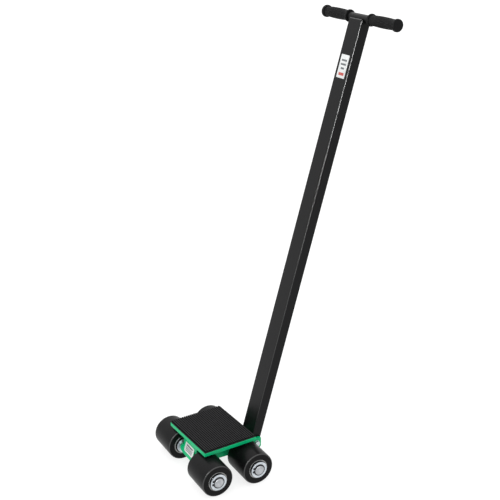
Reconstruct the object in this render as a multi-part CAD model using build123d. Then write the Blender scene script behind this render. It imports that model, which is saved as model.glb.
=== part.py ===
from build123d import *
import os
from math import cos, floor, pi, radians, tan

# A four-roller machine skate: a welded frame on two axles, a load plate that swivels on a king pin,
# and a pull handle that tilts on a bolt between two lugs.
# Millimetres. X is the way it travels, towards the handle. Y runs along the axles. Z is up from the floor.
# Front is +X and left is +Y.

# Rollers and axles
ROLLER_DIAMETER = 85.0
ROLLER_WIDTH = 90.0
ROLLER_EDGE = 4.0
ROLLER_GAP = 108.0
WHEELBASE = 116.0
AXLE_DIAMETER = 25.0
AXLE_PROUD = 8.5
AXLE_CHAMFER = 1.5

# Ball bearings, of which each roller holds two
BEARING_OUTER = 52.0
BEARING_WIDTH = 15.0
BEARING_SINK = 0.5
BEARING_SHOULDER = 8.0
RACE_WALL = 2.78
RACE_DEPTH = 0.5
RING_EDGE = 0.6
BALL_PLAY = 0.05
BALL_SPACING = 1.65
CAGE_WALL = 2.6
CAGE_RAIL = 1.0
POCKET_PLAY = 0.2
SEAL_THICKNESS = 0.6
SEAL_SINK = 0.5
SEAL_GAP = 0.6

# What holds the bearings on the axle
SLEEVE_WALL = 2.6
SPACER_WALL = 5.0
SPACER_LENGTH = 11.5
SPACER_FLANGE = 2.5
BOSS_WALL = 1.8
BOSS_WELD = 1.2
AXLE_WASHER_GAP = 0.7
AXLE_WASHER_THICKNESS = 5.0
AXLE_FLANGE_THICKNESS = 2.0
CIRCLIP_THICKNESS = 1.2
CIRCLIP_WALL = 3.0
CIRCLIP_GROOVE = 0.6
CIRCLIP_GAP = 4.0
EAR_RADIUS = 2.6
EAR_HOLE_RADIUS = 1.0
EAR_DIRECTION = 172.0

# Frame
SIDE_THICKNESS = 8.0
SIDE_BELOW_AXLE = 9.5
AXLE_EAR = 2.0
DECK_THICKNESS = 12.0
DECK_OVERHANG = 4.0
DECK_CORNER = 5.0
DECK_WELD = 3.0
FRONT_GAP = 1.5
FRONT_THICKNESS = 4.0
REAR_THICKNESS = 2.0
REAR_SLOPE = 17.0
REAR_GAP = 0.3
REAR_LIP = 1.0
REAR_FOOT_RISE = 6.0
REAR_LABEL_MARGIN = 4.0
REAR_LABEL_OFFSET = -2.0
REAR_LABEL_HEIGHT = 25.0
REAR_LABEL_DROP = 16.0
LABEL_THICKNESS = 0.3

# Load plate, its mat and its swivel
PLATE_LENGTH = 153.0
PLATE_SHIFT = 2.2
PLATE_WIDTH = 183.0
PLATE_THICKNESS = 9.0
PLATE_CHAMFER = 1.0
PLATE_CORNER = 2.0
PLATE_TURN = 3.1
ROLLER_CLEARANCE = 5.0
MAT_BASE = 4.0
MAT_INSET = 1.0
RIB_HEIGHT = 2.0
RIB_PITCH = 5.9
RIB_TOP = 3.0
RIB_FLANK = 0.5
RIB_MARGIN = 0.5
THRUST_THICKNESS = 2.0
THRUST_WALL = 20.0
KING_PIN_DIAMETER = 24.0
KING_PIN_COLLAR = 9.0
KING_PIN_HEAD_HEIGHT = 5.0
KING_PIN_TAIL = 4.0
KING_BUSH_WALL = 3.0
KING_BLOCK_GAP = 2.5
KING_BLOCK_HEIGHT = 20.0
KING_WASHER_WALL = 10.0
KING_WASHER_THICKNESS = 3.0
KING_NUT_WALL = 6.0
KING_NUT_HEIGHT = 12.0

# Handle
HANDLE_LEAN = 15.9
HANDLE_LENGTH = 1131.0
TUBE_WIDTH = 55.0
TUBE_DEPTH = 28.0
TUBE_WALL = 1.5
TUBE_BEND = 1.5
TUBE_FOOT = 18.0
SADDLE_DEPTH = 4.0
HANDLE_WELD = 3.0
BAR_DIAMETER = 20.0
BAR_WALL = 1.5
BAR_SPAN = 304.0
GRIP_LENGTH = 109.0
GRIP_WALL = 2.2
GRIP_SWELL = 1.3
GRIP_FLANGE_RISE = 3.3
GRIP_INNER_FLANGE = 6.0
GRIP_END_FLANGE = 8.0
GRIP_END_WALL = 3.0
GRIP_ROUND = 2.2
STICKER_LENGTH = 58.0
STICKER_WIDTH = 34.0
STICKER_DROP = 123.0

# Handle pivot
PIN_REACH = 56.0
PIN_ABOVE_AXLE = 1.5
PIN_DIAMETER = 8.0
LUG_SIDE_PLAY = 0.5
LUG_TIP = 13.5
LUG_ABOVE = 14.0
LUG_BELOW = 16.0
LUG_CHAMFER = 1.0
LUG_ROUND = 7.0
LUG_NECK = 20.0
BUSH_WALL = 3.0
BUSH_PLAY = 0.2
BOLT_HEAD_WALL = 2.5
BOLT_HEAD_HEIGHT = 5.3
BOLT_TAIL = 3.0
NUT_HEIGHT = 6.8
WASHER_WALL = 4.0
WASHER_THICKNESS = 1.6

# Fits, as radial clearances, and the chamfer of bolt heads and nuts
SEAT_FIT = 0.02
RUNNING_FIT = 0.05
HOLE_FIT = 0.1
FACE_PLAY = 0.2
HEX_CHAMFER = 1.0

# Places that follow from the sizes above
axle_x = WHEELBASE / 2
axle_z = ROLLER_DIAMETER / 2
axle_r = AXLE_DIAMETER / 2
roller_in = ROLLER_GAP / 2
roller_out = roller_in + ROLLER_WIDTH
axle_end = roller_out + AXLE_PROUD
bearing_in = roller_in + BEARING_SINK
bearing_out = roller_out - BEARING_SINK
bearing_r = BEARING_OUTER / 2
circlip_seat = bearing_out + AXLE_WASHER_THICKNESS

plate_bottom = ROLLER_DIAMETER + ROLLER_CLEARANCE
plate_top = plate_bottom + PLATE_THICKNESS
deck_top = plate_bottom - THRUST_THICKNESS
deck_bottom = deck_top - DECK_THICKNESS

lug_in = TUBE_WIDTH / 2 + LUG_SIDE_PLAY
side_out = lug_in + SIDE_THICKNESS
deck_half = side_out + DECK_OVERHANG
boss_end = bearing_in - SPACER_LENGTH
boss_r = axle_r + SEAT_FIT + BOSS_WALL
side_bottom = axle_z - SIDE_BELOW_AXLE
frame_front = axle_x + axle_r + FRONT_GAP + FRONT_THICKNESS
circlip_slot = CIRCLIP_THICKNESS + RUNNING_FIT

king_r = KING_PIN_DIAMETER / 2
king_head_r = king_r + KING_PIN_COLLAR
king_bush_r = king_r + RUNNING_FIT + KING_BUSH_WALL
king_block_bottom = deck_bottom - KING_BLOCK_HEIGHT
king_washer_top = king_block_bottom - FACE_PLAY
king_nut_top = king_washer_top - KING_WASHER_THICKNESS
king_nut_bottom = king_nut_top - KING_NUT_HEIGHT

pin_x = axle_x + PIN_REACH
pin_z = axle_z + PIN_ABOVE_AXLE
pin_r = PIN_DIAMETER / 2
bush_r = pin_r + RUNNING_FIT + BUSH_WALL
bolt_flats = PIN_DIAMETER + 2 * BOLT_HEAD_WALL
bolt_seat = side_out + WASHER_THICKNESS
bar_r = BAR_DIAMETER / 2
tube_top = HANDLE_LENGTH - bar_r + SADDLE_DEPTH
grip_end = BAR_SPAN / 2
grip_start = grip_end - GRIP_LENGTH

SIDES = ("left", "right")
ENDS = {"front": 1, "rear": -1}


def rear_face_x(z):
    """X of the rear plate's outer face at a height. It slopes clear of the rear axle."""
    stand_off = (axle_r + REAR_GAP + REAR_THICKNESS) / cos(radians(REAR_SLOPE))
    return -axle_x - stand_off + (z - axle_z) * tan(radians(REAR_SLOPE))


frame_rear = rear_face_x(deck_bottom) - REAR_LIP


def rod(radius, y0, y1, x=0.0, z=0.0):
    """Round bar along Y."""
    return Pos(x, (y0 + y1) / 2, z) * Rot(90, 0, 0) * Cylinder(radius, abs(y1 - y0))


def tube(outer, inner, y0, y1, x=0.0, z=0.0):
    """Round tube along Y."""
    return rod(outer, y0, y1, x, z) - rod(inner, y0, y1, x, z)


def post(radius, z0, z1):
    """Round bar on the Z axis."""
    return Pos(0, 0, (z0 + z1) / 2) * Cylinder(radius, z1 - z0)


def collar(outer, inner, z0, z1):
    """Round ring on the Z axis."""
    return post(outer, z0, z1) - post(inner, z0, z1)


def slab(outline, y0, y1):
    """Solid of an outline drawn in X and Z, from y0 to y1."""
    return extrude(Plane.XZ.offset(-y0) * outline, amount=y0 - y1)


def block(x0, x1, half_width, z0, z1):
    """Box centred on the X axis."""
    return Pos((x0 + x1) / 2, 0, (z0 + z1) / 2) * Box(x1 - x0, 2 * half_width, z1 - z0)


def hexagon(flats, height):
    """Bolt head or nut on the Z axis, standing on Z = 0, with its upper corners taken off."""
    prism = extrude(RegularPolygon(flats / 2, 6, major_radius=False), height)
    corner = flats / 2 / cos(pi / 6)
    limit = Pos(0, 0, height / 2) * Cylinder(corner, height)
    return prism & chamfer(limit.edges().sort_by(Axis.Z)[-1], HEX_CHAMFER)


def spun(outline):
    """Solid of an outline, drawn as radius and Y, turned round the Y axis."""
    return revolve(outline, Axis.Y)


def bead_corner(x, y, along_x, along_y):
    """Three-cornered section of a weld in the corner at x and y."""
    return Polyline((x, y), (x + along_x, y), (x, y + along_y), close=True)


def group(solids):
    return Compound(children=list(solids))


def save(name, shape):
    export_step(shape, os.path.join("parts", name + ".step"))


# Rollers and their bearings


def roller():
    """Roller of the left side, centred on the Y axis, with a seat for a bearing at each end."""
    body = rod(ROLLER_DIAMETER / 2, roller_in, roller_out)
    rims = body.edges().filter_by(GeomType.CIRCLE)
    body = fillet(rims, ROLLER_EDGE)
    body -= rod(bearing_r - BEARING_SHOULDER, roller_in, roller_out)
    seat = bearing_r + SEAT_FIT
    body -= rod(seat, roller_in, bearing_in + BEARING_WIDTH)
    body -= rod(seat, bearing_out - BEARING_WIDTH, roller_out)
    return body


inner_race = axle_r + SEAT_FIT + RACE_WALL
outer_race = bearing_r - RACE_WALL
ball_circle = (inner_race + outer_race) / 2
groove_r = (outer_race - inner_race) / 2
ball_r = groove_r - BALL_PLAY
ball_count = floor(2 * pi * ball_circle / (2 * ball_r * BALL_SPACING))
inner_land = inner_race + RACE_DEPTH
outer_land = outer_race - RACE_DEPTH
bearing_middles = (bearing_in + BEARING_WIDTH / 2, bearing_out - BEARING_WIDTH / 2)


def raceway(middle):
    return Pos(0, middle, 0) * Rot(90, 0, 0) * Torus(ball_circle, groove_r)


def ring(outer, inner, middle):
    """Bearing ring with rounded outer edges and its groove for the balls."""
    half = BEARING_WIDTH / 2
    body = rod(outer, middle - half, middle + half)
    body = chamfer(body.edges().filter_by(GeomType.CIRCLE), RING_EDGE)
    return body - rod(inner, middle - half, middle + half) - raceway(middle)


def outer_rings():
    return [ring(bearing_r, outer_land, middle) for middle in bearing_middles]


def inner_rings():
    return [ring(inner_land, axle_r + SEAT_FIT, middle) for middle in bearing_middles]


def ball_places(middle):
    """Places of the balls round the Y axis, each with its Z axis pointing outwards."""
    for index in range(ball_count):
        yield Pos(0, middle, 0) * Rot(0, index * 360 / ball_count, 0) * Pos(0, 0, ball_circle)


def balls():
    return [place * Sphere(ball_r) for middle in bearing_middles for place in ball_places(middle)]


def cage(middle):
    """Ring between the bearing's rings with a pocket for each ball."""
    half = ball_r + CAGE_RAIL
    body = tube(ball_circle + CAGE_WALL / 2, ball_circle - CAGE_WALL / 2, middle - half, middle + half)
    for place in ball_places(middle):
        body -= place * Cylinder(ball_r + POCKET_PLAY, 2 * CAGE_WALL)
    return body


def seals(middle):
    """The two thin rubber discs that close a bearing."""
    face = BEARING_WIDTH / 2 - SEAL_SINK
    outer, inner = outer_land - SEAT_FIT, inner_land + SEAL_GAP
    return [
        tube(outer, inner, middle + face - SEAL_THICKNESS, middle + face),
        tube(outer, inner, middle - face, middle - face + SEAL_THICKNESS),
    ]


# What sits on the axles


def axle():
    body = rod(axle_r, -axle_end, axle_end)
    body = chamfer(body.edges().filter_by(GeomType.CIRCLE), AXLE_CHAMFER)
    groove = tube(axle_r + AXLE_CHAMFER, axle_r - CIRCLIP_GROOVE, circlip_seat, circlip_seat + circlip_slot)
    return body - groove - mirror(groove, Plane.XZ)


def circlip():
    """Retaining ring with two eared ends, in its groove on the left."""
    inner = axle_r - CIRCLIP_GROOVE + RUNNING_FIT
    outer = axle_r + CIRCLIP_WALL
    mouth = Pos(outer / 2, 0) * Rectangle(outer, CIRCLIP_GAP)
    outline = Circle(outer) - Circle(inner) - mouth
    ear_y = CIRCLIP_GAP / 2 + EAR_RADIUS
    for y in (ear_y, -ear_y):
        outline += Pos(outer, y) * Circle(EAR_RADIUS)
    for y in (ear_y, -ear_y):
        outline -= Pos(outer, y) * Circle(EAR_HOLE_RADIUS)
    outline -= Circle(inner)
    outline = Rot(0, 0, EAR_DIRECTION) * outline
    return slab(outline, circlip_seat, circlip_seat + CIRCLIP_THICKNESS)


def axle_washer():
    """Flanged ring between the outer bearing's inner ring and the circlip.

    Its flange clears the bearing's outer ring.
    """
    bore = axle_r + HOLE_FIT
    hub = tube(inner_land, bore, bearing_out, circlip_seat)
    under = circlip_seat - AXLE_FLANGE_THICKNESS
    return hub + tube(outer_land - AXLE_WASHER_GAP, bore, under, circlip_seat)


def boss():
    """Tube through the left side plate that carries the axle."""
    return tube(boss_r, axle_r + SEAT_FIT, lug_in, boss_end)


def boss_weld(end):
    """Fillet of weld round the boss of an axle, as far as the side plate goes round it."""
    bead = at_axle(end) * spun(make_face(bead_corner(boss_r, side_out, BOSS_WELD, BOSS_WELD)))
    if end == "front":
        return bead
    return bead & block(frame_rear, frame_front, deck_half, side_bottom, deck_bottom)


def spacer():
    """Sleeve between a boss and the inner bearing, with a flange that stands off the bearing's seal."""
    bore = axle_r + SEAT_FIT
    face = bearing_in - AXLE_WASHER_THICKNESS
    body = tube(bore + SPACER_WALL, bore, boss_end, face + AXLE_FLANGE_THICKNESS)
    body += tube(bore + SPACER_WALL + SPACER_FLANGE, bore, face, face + AXLE_FLANGE_THICKNESS)
    return body + tube(inner_land, bore, face, bearing_in)


def sleeve():
    """Tube on the axle between the two bearings of a roller."""
    ends = (bearing_in + BEARING_WIDTH, bearing_out - BEARING_WIDTH)
    return tube(axle_r + SEAT_FIT + SLEEVE_WALL, axle_r + SEAT_FIT, *ends)


# Frame


def side_plate():
    """Left side plate, with the lug for the handle at its front.

    The front boss goes through an ear. The rear one lies in the open corner of the plate.
    """
    lug_end = pin_x + LUG_TIP
    lug_top = pin_z + LUG_ABOVE
    lug_bottom = pin_z - LUG_BELOW
    outline = make_face(
        Polyline(
            (frame_rear, side_bottom),
            (frame_rear, deck_bottom),
            (frame_front, deck_bottom),
            (pin_x - LUG_NECK, lug_top),
            (lug_end - LUG_CHAMFER, lug_top),
            (lug_end, lug_top - LUG_CHAMFER),
            (lug_end, lug_bottom),
            (axle_x, lug_bottom),
            (axle_x, side_bottom),
            close=True,
        )
    )
    tip = outline.vertices().sort_by_distance((lug_end, lug_bottom, 0))[0]
    outline = fillet(tip, LUG_ROUND)
    outline += Pos(axle_x, axle_z) * Circle(boss_r + AXLE_EAR)
    for x in (axle_x, -axle_x):
        outline -= Pos(x, axle_z) * Circle(boss_r + SEAT_FIT)
    outline -= Pos(pin_x, pin_z) * Circle(pin_r + HOLE_FIT)
    return slab(outline, lug_in, side_out)


def rear_plate():
    """Plate that slopes down from the deck, behind the rear axle and between the rear bosses."""
    foot = side_bottom + REAR_FOOT_RISE
    along_x = REAR_THICKNESS / cos(radians(REAR_SLOPE))
    outline = Polyline(
        (rear_face_x(foot), foot),
        (rear_face_x(deck_bottom), deck_bottom),
        (rear_face_x(deck_bottom) + along_x, deck_bottom),
        (rear_face_x(foot) + along_x, foot),
        close=True,
    )
    return slab(make_face(outline), -lug_in, lug_in)


def rear_label():
    """Blank label on the rear plate's outer face, a little right of its middle."""
    middle = deck_bottom - REAR_LABEL_DROP
    place = Pos(rear_face_x(middle), REAR_LABEL_OFFSET, middle) * Rot(0, REAR_SLOPE, 0)
    plate = Box(LABEL_THICKNESS, 2 * (lug_in - REAR_LABEL_MARGIN), REAR_LABEL_HEIGHT)
    return place * Pos(-LABEL_THICKNESS / 2, 0, 0) * plate


def front_plate():
    return block(frame_front - FRONT_THICKNESS, frame_front, lug_in, side_bottom, deck_bottom)


def deck():
    """Top of the frame, with a bore for the king pin's bush."""
    body = block(frame_rear, frame_front, deck_half, deck_bottom, deck_top)
    body = fillet(body.edges().filter_by(Axis.Z), DECK_CORNER)
    return body - post(king_bush_r + SEAT_FIT, deck_bottom, deck_top)


def deck_weld():
    """Fillet of weld under the deck's overhang, along the left side plate."""
    corner = bead_corner(side_out, deck_bottom, DECK_WELD, -DECK_WELD)
    start = frame_rear + DECK_CORNER
    stop = frame_front - DECK_CORNER
    return extrude(Plane.YZ.offset(start) * make_face(corner), amount=stop - start)


# Load plate and its swivel

turn = Rot(0, 0, PLATE_TURN)


def load_plate():
    middle = (plate_bottom + plate_top) / 2
    body = Pos(PLATE_SHIFT, 0, middle) * Box(PLATE_LENGTH, PLATE_WIDTH, PLATE_THICKNESS)
    body = fillet(body.edges().filter_by(Axis.Z), PLATE_CORNER)
    body = chamfer(body.faces().sort_by(Axis.Z)[-1].edges(), PLATE_CHAMFER)
    body -= post(king_r + SEAT_FIT, plate_bottom, plate_top)
    body -= post(king_head_r + SEAT_FIT, plate_top - KING_PIN_HEAD_HEIGHT, plate_top)
    return turn * body


def load_mat():
    """Rubber mat with ribs across the way of travel."""
    length = PLATE_LENGTH - 2 * MAT_INSET
    half_width = PLATE_WIDTH / 2 - MAT_INSET
    rib_foot = RIB_TOP + 2 * RIB_FLANK
    count = floor((length - rib_foot - 2 * RIB_MARGIN) / RIB_PITCH) + 1
    low = plate_top + MAT_BASE
    high = low + RIB_HEIGHT
    outline = [(-length / 2, plate_top), (-length / 2, low)]
    for index in range(count):
        middle = (index - (count - 1) / 2) * RIB_PITCH
        outline += [
            (middle - rib_foot / 2, low),
            (middle - RIB_TOP / 2, high),
            (middle + RIB_TOP / 2, high),
            (middle + rib_foot / 2, low),
        ]
    outline += [(length / 2, low), (length / 2, plate_top)]
    mat = slab(make_face(Polyline(*outline, close=True)), -half_width, half_width)
    return turn * Pos(PLATE_SHIFT, 0, 0) * mat


def king_block():
    """Block under the deck, between the side plates, that the king pin's bush goes through."""
    half_length = axle_x - axle_r - KING_BLOCK_GAP
    body = block(-half_length, half_length, lug_in, king_block_bottom, deck_bottom)
    return body - post(king_bush_r + SEAT_FIT, king_block_bottom, deck_bottom)


def king_pin():
    head = post(king_head_r, plate_top - KING_PIN_HEAD_HEIGHT, plate_top)
    return head + post(king_r, king_nut_bottom - KING_PIN_TAIL, plate_top - KING_PIN_HEAD_HEIGHT)


def king_nut():
    flats = KING_PIN_DIAMETER + 2 * KING_NUT_WALL
    nut = Pos(0, 0, king_nut_top) * Rot(180, 0, 0) * hexagon(flats, KING_NUT_HEIGHT)
    return nut - post(king_r + SEAT_FIT, king_nut_bottom, king_nut_top)


# Handle, built upright over its pin and then leant forward

lean = Pos(pin_x, 0, pin_z) * Rot(0, HANDLE_LEAN, 0)


def handle_tube():
    outline = RectangleRounded(TUBE_DEPTH, TUBE_WIDTH, TUBE_BEND + TUBE_WALL)
    bore = RectangleRounded(TUBE_DEPTH - 2 * TUBE_WALL, TUBE_WIDTH - 2 * TUBE_WALL, TUBE_BEND)
    body = Pos(0, 0, -TUBE_FOOT) * extrude(outline - bore, tube_top + TUBE_FOOT)
    body -= rod(bar_r + SEAT_FIT, -TUBE_WIDTH, TUBE_WIDTH, 0, HANDLE_LENGTH)
    return body - rod(bush_r + SEAT_FIT, -TUBE_WIDTH, TUBE_WIDTH)


def pivot_bush():
    half = lug_in - BUSH_PLAY
    return tube(bush_r, pin_r + RUNNING_FIT, -half, half)


def cross_bar():
    half = grip_end - GRIP_END_WALL - FACE_PLAY
    return tube(bar_r, bar_r - BAR_WALL, -half, half, 0, HANDLE_LENGTH)


def handle_welds():
    """Beads along the tube's mouth, in front of the bar and behind it."""
    half = TUBE_WIDTH / 2 - TUBE_BEND - TUBE_WALL
    middle = TUBE_DEPTH / 2 - TUBE_WALL / 2
    beads = []
    for x in (middle, -middle):
        bead = rod(HANDLE_WELD, -half, half, x, tube_top)
        bead -= block(-TUBE_DEPTH, TUBE_DEPTH, TUBE_WIDTH, tube_top - 2 * HANDLE_WELD, tube_top)
        beads.append(bead - rod(bar_r + SEAT_FIT, -TUBE_WIDTH, TUBE_WIDTH, 0, HANDLE_LENGTH))
    return beads


def grip():
    """Left rubber grip: two flanges, a barrel that swells between them and a closed end."""
    bore = bar_r + SEAT_FIT
    neck = bar_r + GRIP_WALL
    flange = neck + GRIP_FLANGE_RISE
    barrel_start = grip_start + GRIP_INNER_FLANGE
    barrel_end = grip_end - GRIP_END_FLANGE
    barrel_middle = (barrel_start + barrel_end) / 2
    inside = grip_end - GRIP_END_WALL
    start = Polyline((bore, grip_start), (flange, grip_start), (flange, barrel_start), (neck, barrel_start))
    barrel = ThreePointArc((neck, barrel_start), (neck + GRIP_SWELL, barrel_middle), (neck, barrel_end))
    finish = Polyline(
        (neck, barrel_end),
        (flange, barrel_end),
        (flange, grip_end),
        (0, grip_end),
        (0, inside),
        (bore, inside),
        (bore, grip_start),
    )
    body = spun(make_face(start + barrel + finish))
    circles = body.edges().filter_by(GeomType.CIRCLE)
    rims = [edge for edge in circles if abs(edge.radius - flange) < SEAT_FIT]
    return fillet(rims, GRIP_ROUND)


def handle_sticker():
    """Blank sticker on the back of the tube."""
    middle = HANDLE_LENGTH - STICKER_DROP
    place = Pos(-TUBE_DEPTH / 2 - LABEL_THICKNESS / 2, 0, middle)
    return place * Box(LABEL_THICKNESS, STICKER_WIDTH, STICKER_LENGTH)


# Handle pivot, on the frame


def along_pin(shape, y, way):
    """A shape that stands on Z = 0, set on the pin's axis at y, pointing to the left (1) or right (-1)."""
    return Pos(pin_x, y, pin_z) * Rot(-90 * way, 0, 0) * shape


def pivot_bolt():
    head = along_pin(hexagon(bolt_flats, BOLT_HEAD_HEIGHT), -bolt_seat, -1)
    tail = bolt_seat + NUT_HEIGHT + BOLT_TAIL
    return head + rod(pin_r, -bolt_seat, tail, pin_x, pin_z)


def pivot_nut():
    hole = rod(pin_r + SEAT_FIT, bolt_seat, bolt_seat + NUT_HEIGHT, pin_x, pin_z)
    return along_pin(hexagon(bolt_flats, NUT_HEIGHT), bolt_seat, 1) - hole


def pivot_washer():
    return tube(pin_r + WASHER_WALL, pin_r + HOLE_FIT, side_out, bolt_seat, pin_x, pin_z)


# Every piece in its place

os.makedirs("parts", exist_ok=True)


def on_side(shape, side):
    """A shape made for the left, or its mirror image on the right."""
    return shape if side == "left" else mirror(shape, Plane.XZ)


def at_axle(end):
    return Pos(ENDS[end] * axle_x, 0, axle_z)


for end in ENDS:
    save("axle_" + end, at_axle(end) * axle())
    for side in SIDES:
        place = at_axle(end)
        corner = end + "_" + side
        pieces = {
            "roller_": [roller()],
            "bearing_outer_rings_": outer_rings(),
            "bearing_inner_rings_": inner_rings(),
            "bearing_balls_": balls(),
            "bearing_cages_": [cage(middle) for middle in bearing_middles],
            "bearing_seals_": [seal for middle in bearing_middles for seal in seals(middle)],
            "bearing_sleeve_": [sleeve()],
        }
        for name, solids in pieces.items():
            save(name + corner, group(place * on_side(solid, side) for solid in solids))

corners = [(end, side) for end in ENDS for side in SIDES]
save("circlips", group(at_axle(end) * on_side(circlip(), side) for end, side in corners))
save("axle_washers", group(at_axle(end) * on_side(axle_washer(), side) for end, side in corners))
save("axle_bosses", group(at_axle(end) * on_side(boss(), side) for end, side in corners))
save("axle_spacers", group(at_axle(end) * on_side(spacer(), side) for end, side in corners))

for side in SIDES:
    save("side_plate_" + side, on_side(side_plate(), side))
save("rear_plate", rear_plate())
save("rear_label", rear_label())
save("front_plate", front_plate())
save("deck_plate", deck())
boss_beads = [on_side(boss_weld(end), side) for end, side in corners]
save("frame_welds", group(boss_beads + [on_side(deck_weld(), side) for side in SIDES]))

save("load_plate", load_plate())
save("load_mat", load_mat())
save("king_pin", king_pin())
save("king_pin_nut", king_nut())
save("king_pin_washer", collar(king_r + KING_WASHER_WALL, king_r + SEAT_FIT, king_nut_top, king_washer_top))
save("king_pin_block", king_block())
save("king_pin_bush", collar(king_bush_r, king_r + RUNNING_FIT, king_block_bottom, deck_top))
save("thrust_washer", collar(king_r + THRUST_WALL, king_r + HOLE_FIT, deck_top, plate_bottom))

save("handle_tube", lean * handle_tube())
save("pivot_bush", lean * pivot_bush())
save("cross_bar", lean * cross_bar())
save("handle_welds", group(lean * bead for bead in handle_welds()))
save("handle_sticker", lean * handle_sticker())
for side in SIDES:
    save("grip_" + side, lean * Pos(0, 0, HANDLE_LENGTH) * on_side(grip(), side))

save("pivot_bolt", pivot_bolt())
save("pivot_nut", pivot_nut())
save("pivot_washers", group(on_side(pivot_washer(), side) for side in SIDES))
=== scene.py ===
import math

import bmesh
import bpy
from mathutils import Matrix, Vector


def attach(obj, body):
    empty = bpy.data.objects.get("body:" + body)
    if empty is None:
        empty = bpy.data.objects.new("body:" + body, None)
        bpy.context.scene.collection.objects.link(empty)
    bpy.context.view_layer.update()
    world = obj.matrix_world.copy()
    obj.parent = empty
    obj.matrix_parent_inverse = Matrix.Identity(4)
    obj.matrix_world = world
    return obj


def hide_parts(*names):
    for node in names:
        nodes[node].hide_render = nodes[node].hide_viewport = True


# A four-roller machine skate with a swivelling load plate and a leaning pull handle.
# The CAD model is the frame. What is made here stands in its place and in its size.
# Sizes are millimetres unless a line says otherwise.

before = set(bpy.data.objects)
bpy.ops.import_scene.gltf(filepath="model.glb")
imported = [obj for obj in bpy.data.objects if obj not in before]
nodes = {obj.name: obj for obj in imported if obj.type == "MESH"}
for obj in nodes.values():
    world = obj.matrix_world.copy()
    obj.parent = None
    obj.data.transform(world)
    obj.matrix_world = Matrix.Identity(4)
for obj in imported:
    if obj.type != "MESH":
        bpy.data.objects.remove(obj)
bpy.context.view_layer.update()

MM = 0.001

# Sizes that the pieces share with the CAD model
AXLE_X = 58.0
AXLE_Z = 42.5
AXLE_RADIUS = 12.5
ROLLER_RADIUS = 42.5
ROLLER_EDGE = 4.0
ROLLER_IN = 54.0
ROLLER_OUT = 144.0
ROLLER_BORE = 18.0
SEAT_RADIUS = 26.02
SEAT_DEPTH = 15.5
BEARING_WIDTH = 15.0
BEARING_SINK = 0.5
SEAL_OUTER = 22.7
SEAL_INNER = 16.4
SEAL_SINK = 0.5
SEAL_THICKNESS = 0.6
SPACER_RADIUS = 17.5
SPACER_START = 43.0
SPACER_FLANGE = 20.02
WASHER_RADIUS = 22.02
WASHER_THICKNESS = 5.0
WASHER_HUB = 15.8
WASHER_FLANGE = 2.0
WASHER_FIT = 0.1
SEAT_FIT = 0.02
SIDE_FACE = 36.0
DECK_UNDERSIDE = 76.0
DECK_REAR = -64.23
DECK_FRONT = 76.0
DECK_CORNER = 5.0
BOSS_RADIUS = 14.32
PLATE_TOP = 99.0
PLATE_TURN = math.radians(3.1)
PLATE_SHIFT = 2.2
MAT_LENGTH = 151.0
MAT_WIDTH = 181.0
MAT_BASE = 4.0
RIB_HEIGHT = 2.0
RIB_PITCH = 5.9
RIB_COUNT = 25
RIB_TOP = 3.0
RIB_FOOT = 4.0
PIN_X = 114.0
PIN_Z = 44.0
PIN_RADIUS = 4.0
BOLT_SEAT = 37.6
BOLT_FLATS = 13.0
BOLT_HEAD = 5.3
NUT_HEIGHT = 6.8
BOLT_END = 47.4
KING_RADIUS = 12.0
KING_HEAD_RADIUS = 21.0
KING_HEAD = 5.0
KING_NUT_TOP = 52.8
KING_NUT_HEIGHT = 12.0
KING_NUT_FLATS = 36.0
KING_TAIL = 4.0
HANDLE_LEAN = math.radians(15.9)
HANDLE_LENGTH = 1131.0
TUBE_DEPTH = 28.0
TUBE_WIDTH = 55.0
TUBE_WALL = 1.5
TUBE_CORNER = 3.0
TUBE_TOP = 1125.0
BAR_RADIUS = 10.0
GRIP_START = 43.0
GRIP_END = 152.0
GRIP_END_WALL = 3.0
GRIP_NECK = 12.2
GRIP_SWELL = 1.3
GRIP_FLANGE = 15.5
GRIP_INNER_FLANGE = 6.0
GRIP_END_FLANGE = 8.0
GRIP_ROUND = 2.2
STICKER_LENGTH = 58.0
STICKER_WIDTH = 34.0
STICKER_DROP = 123.0
LABEL_HEIGHT = 25.0
LABEL_WIDTH = 48.0
LABEL_PLACE = (-68.13, -2.0, 60.0)
REAR_SLOPE = math.radians(17)
FOIL = 0.3

ENDS = {"front": 1, "rear": -1}
SIDES = {"left": 1, "right": -1}

# How finely the pieces are made
SHARP_ANGLE = math.radians(35)
TURNED_SIDES = 96
ROLLER_SIDES = 128
ROLLER_EDGE_STEPS = 8
CORNER_STEPS = 6
RIM_STEPS = 4
THREAD_STEPS = 8

# Softened edges of the turned pieces
SEAT_LIP = 0.7
RIM_ROUND = 0.4
RIM_CHAMFER = 0.2
BORE_ROUND = 0.5
# A moulded seal's rim bead and lip: distance from the seal's edge, and depth under its face
SEAL_BEAD = ((0.0, 0.25), (0.15, 0.05), (0.5, 0.0), (0.85, 0.05), (1.0, 0.25))
SEAL_LIP = ((1.3, 0.3), (1.0, 0.1), (0.6, 0.0), (0.2, 0.05), (0.0, 0.3))

# Hexagons: share of the width across flats that the chamfer and the collar under a head keep
HEX_FACE = 0.96
HEX_COLLAR = 0.94
HEX_COLLAR_HEIGHT = 0.3
# Threads: pitch, depth and the length of the tip's chamfer
BOLT_THREAD = (1.25, 0.7, 1.0)
KING_THREAD = (3.0, 1.6, 1.8)
THREAD_START = 0.1
THREAD_TIP = 0.1

# Mat
MAT_CORNER = 2.0
MAT_EDGE = 0.4
RIB_ROOT = 0.4
RIB_ROUND = 0.45
RIB_END_INSET = 0.3

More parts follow.
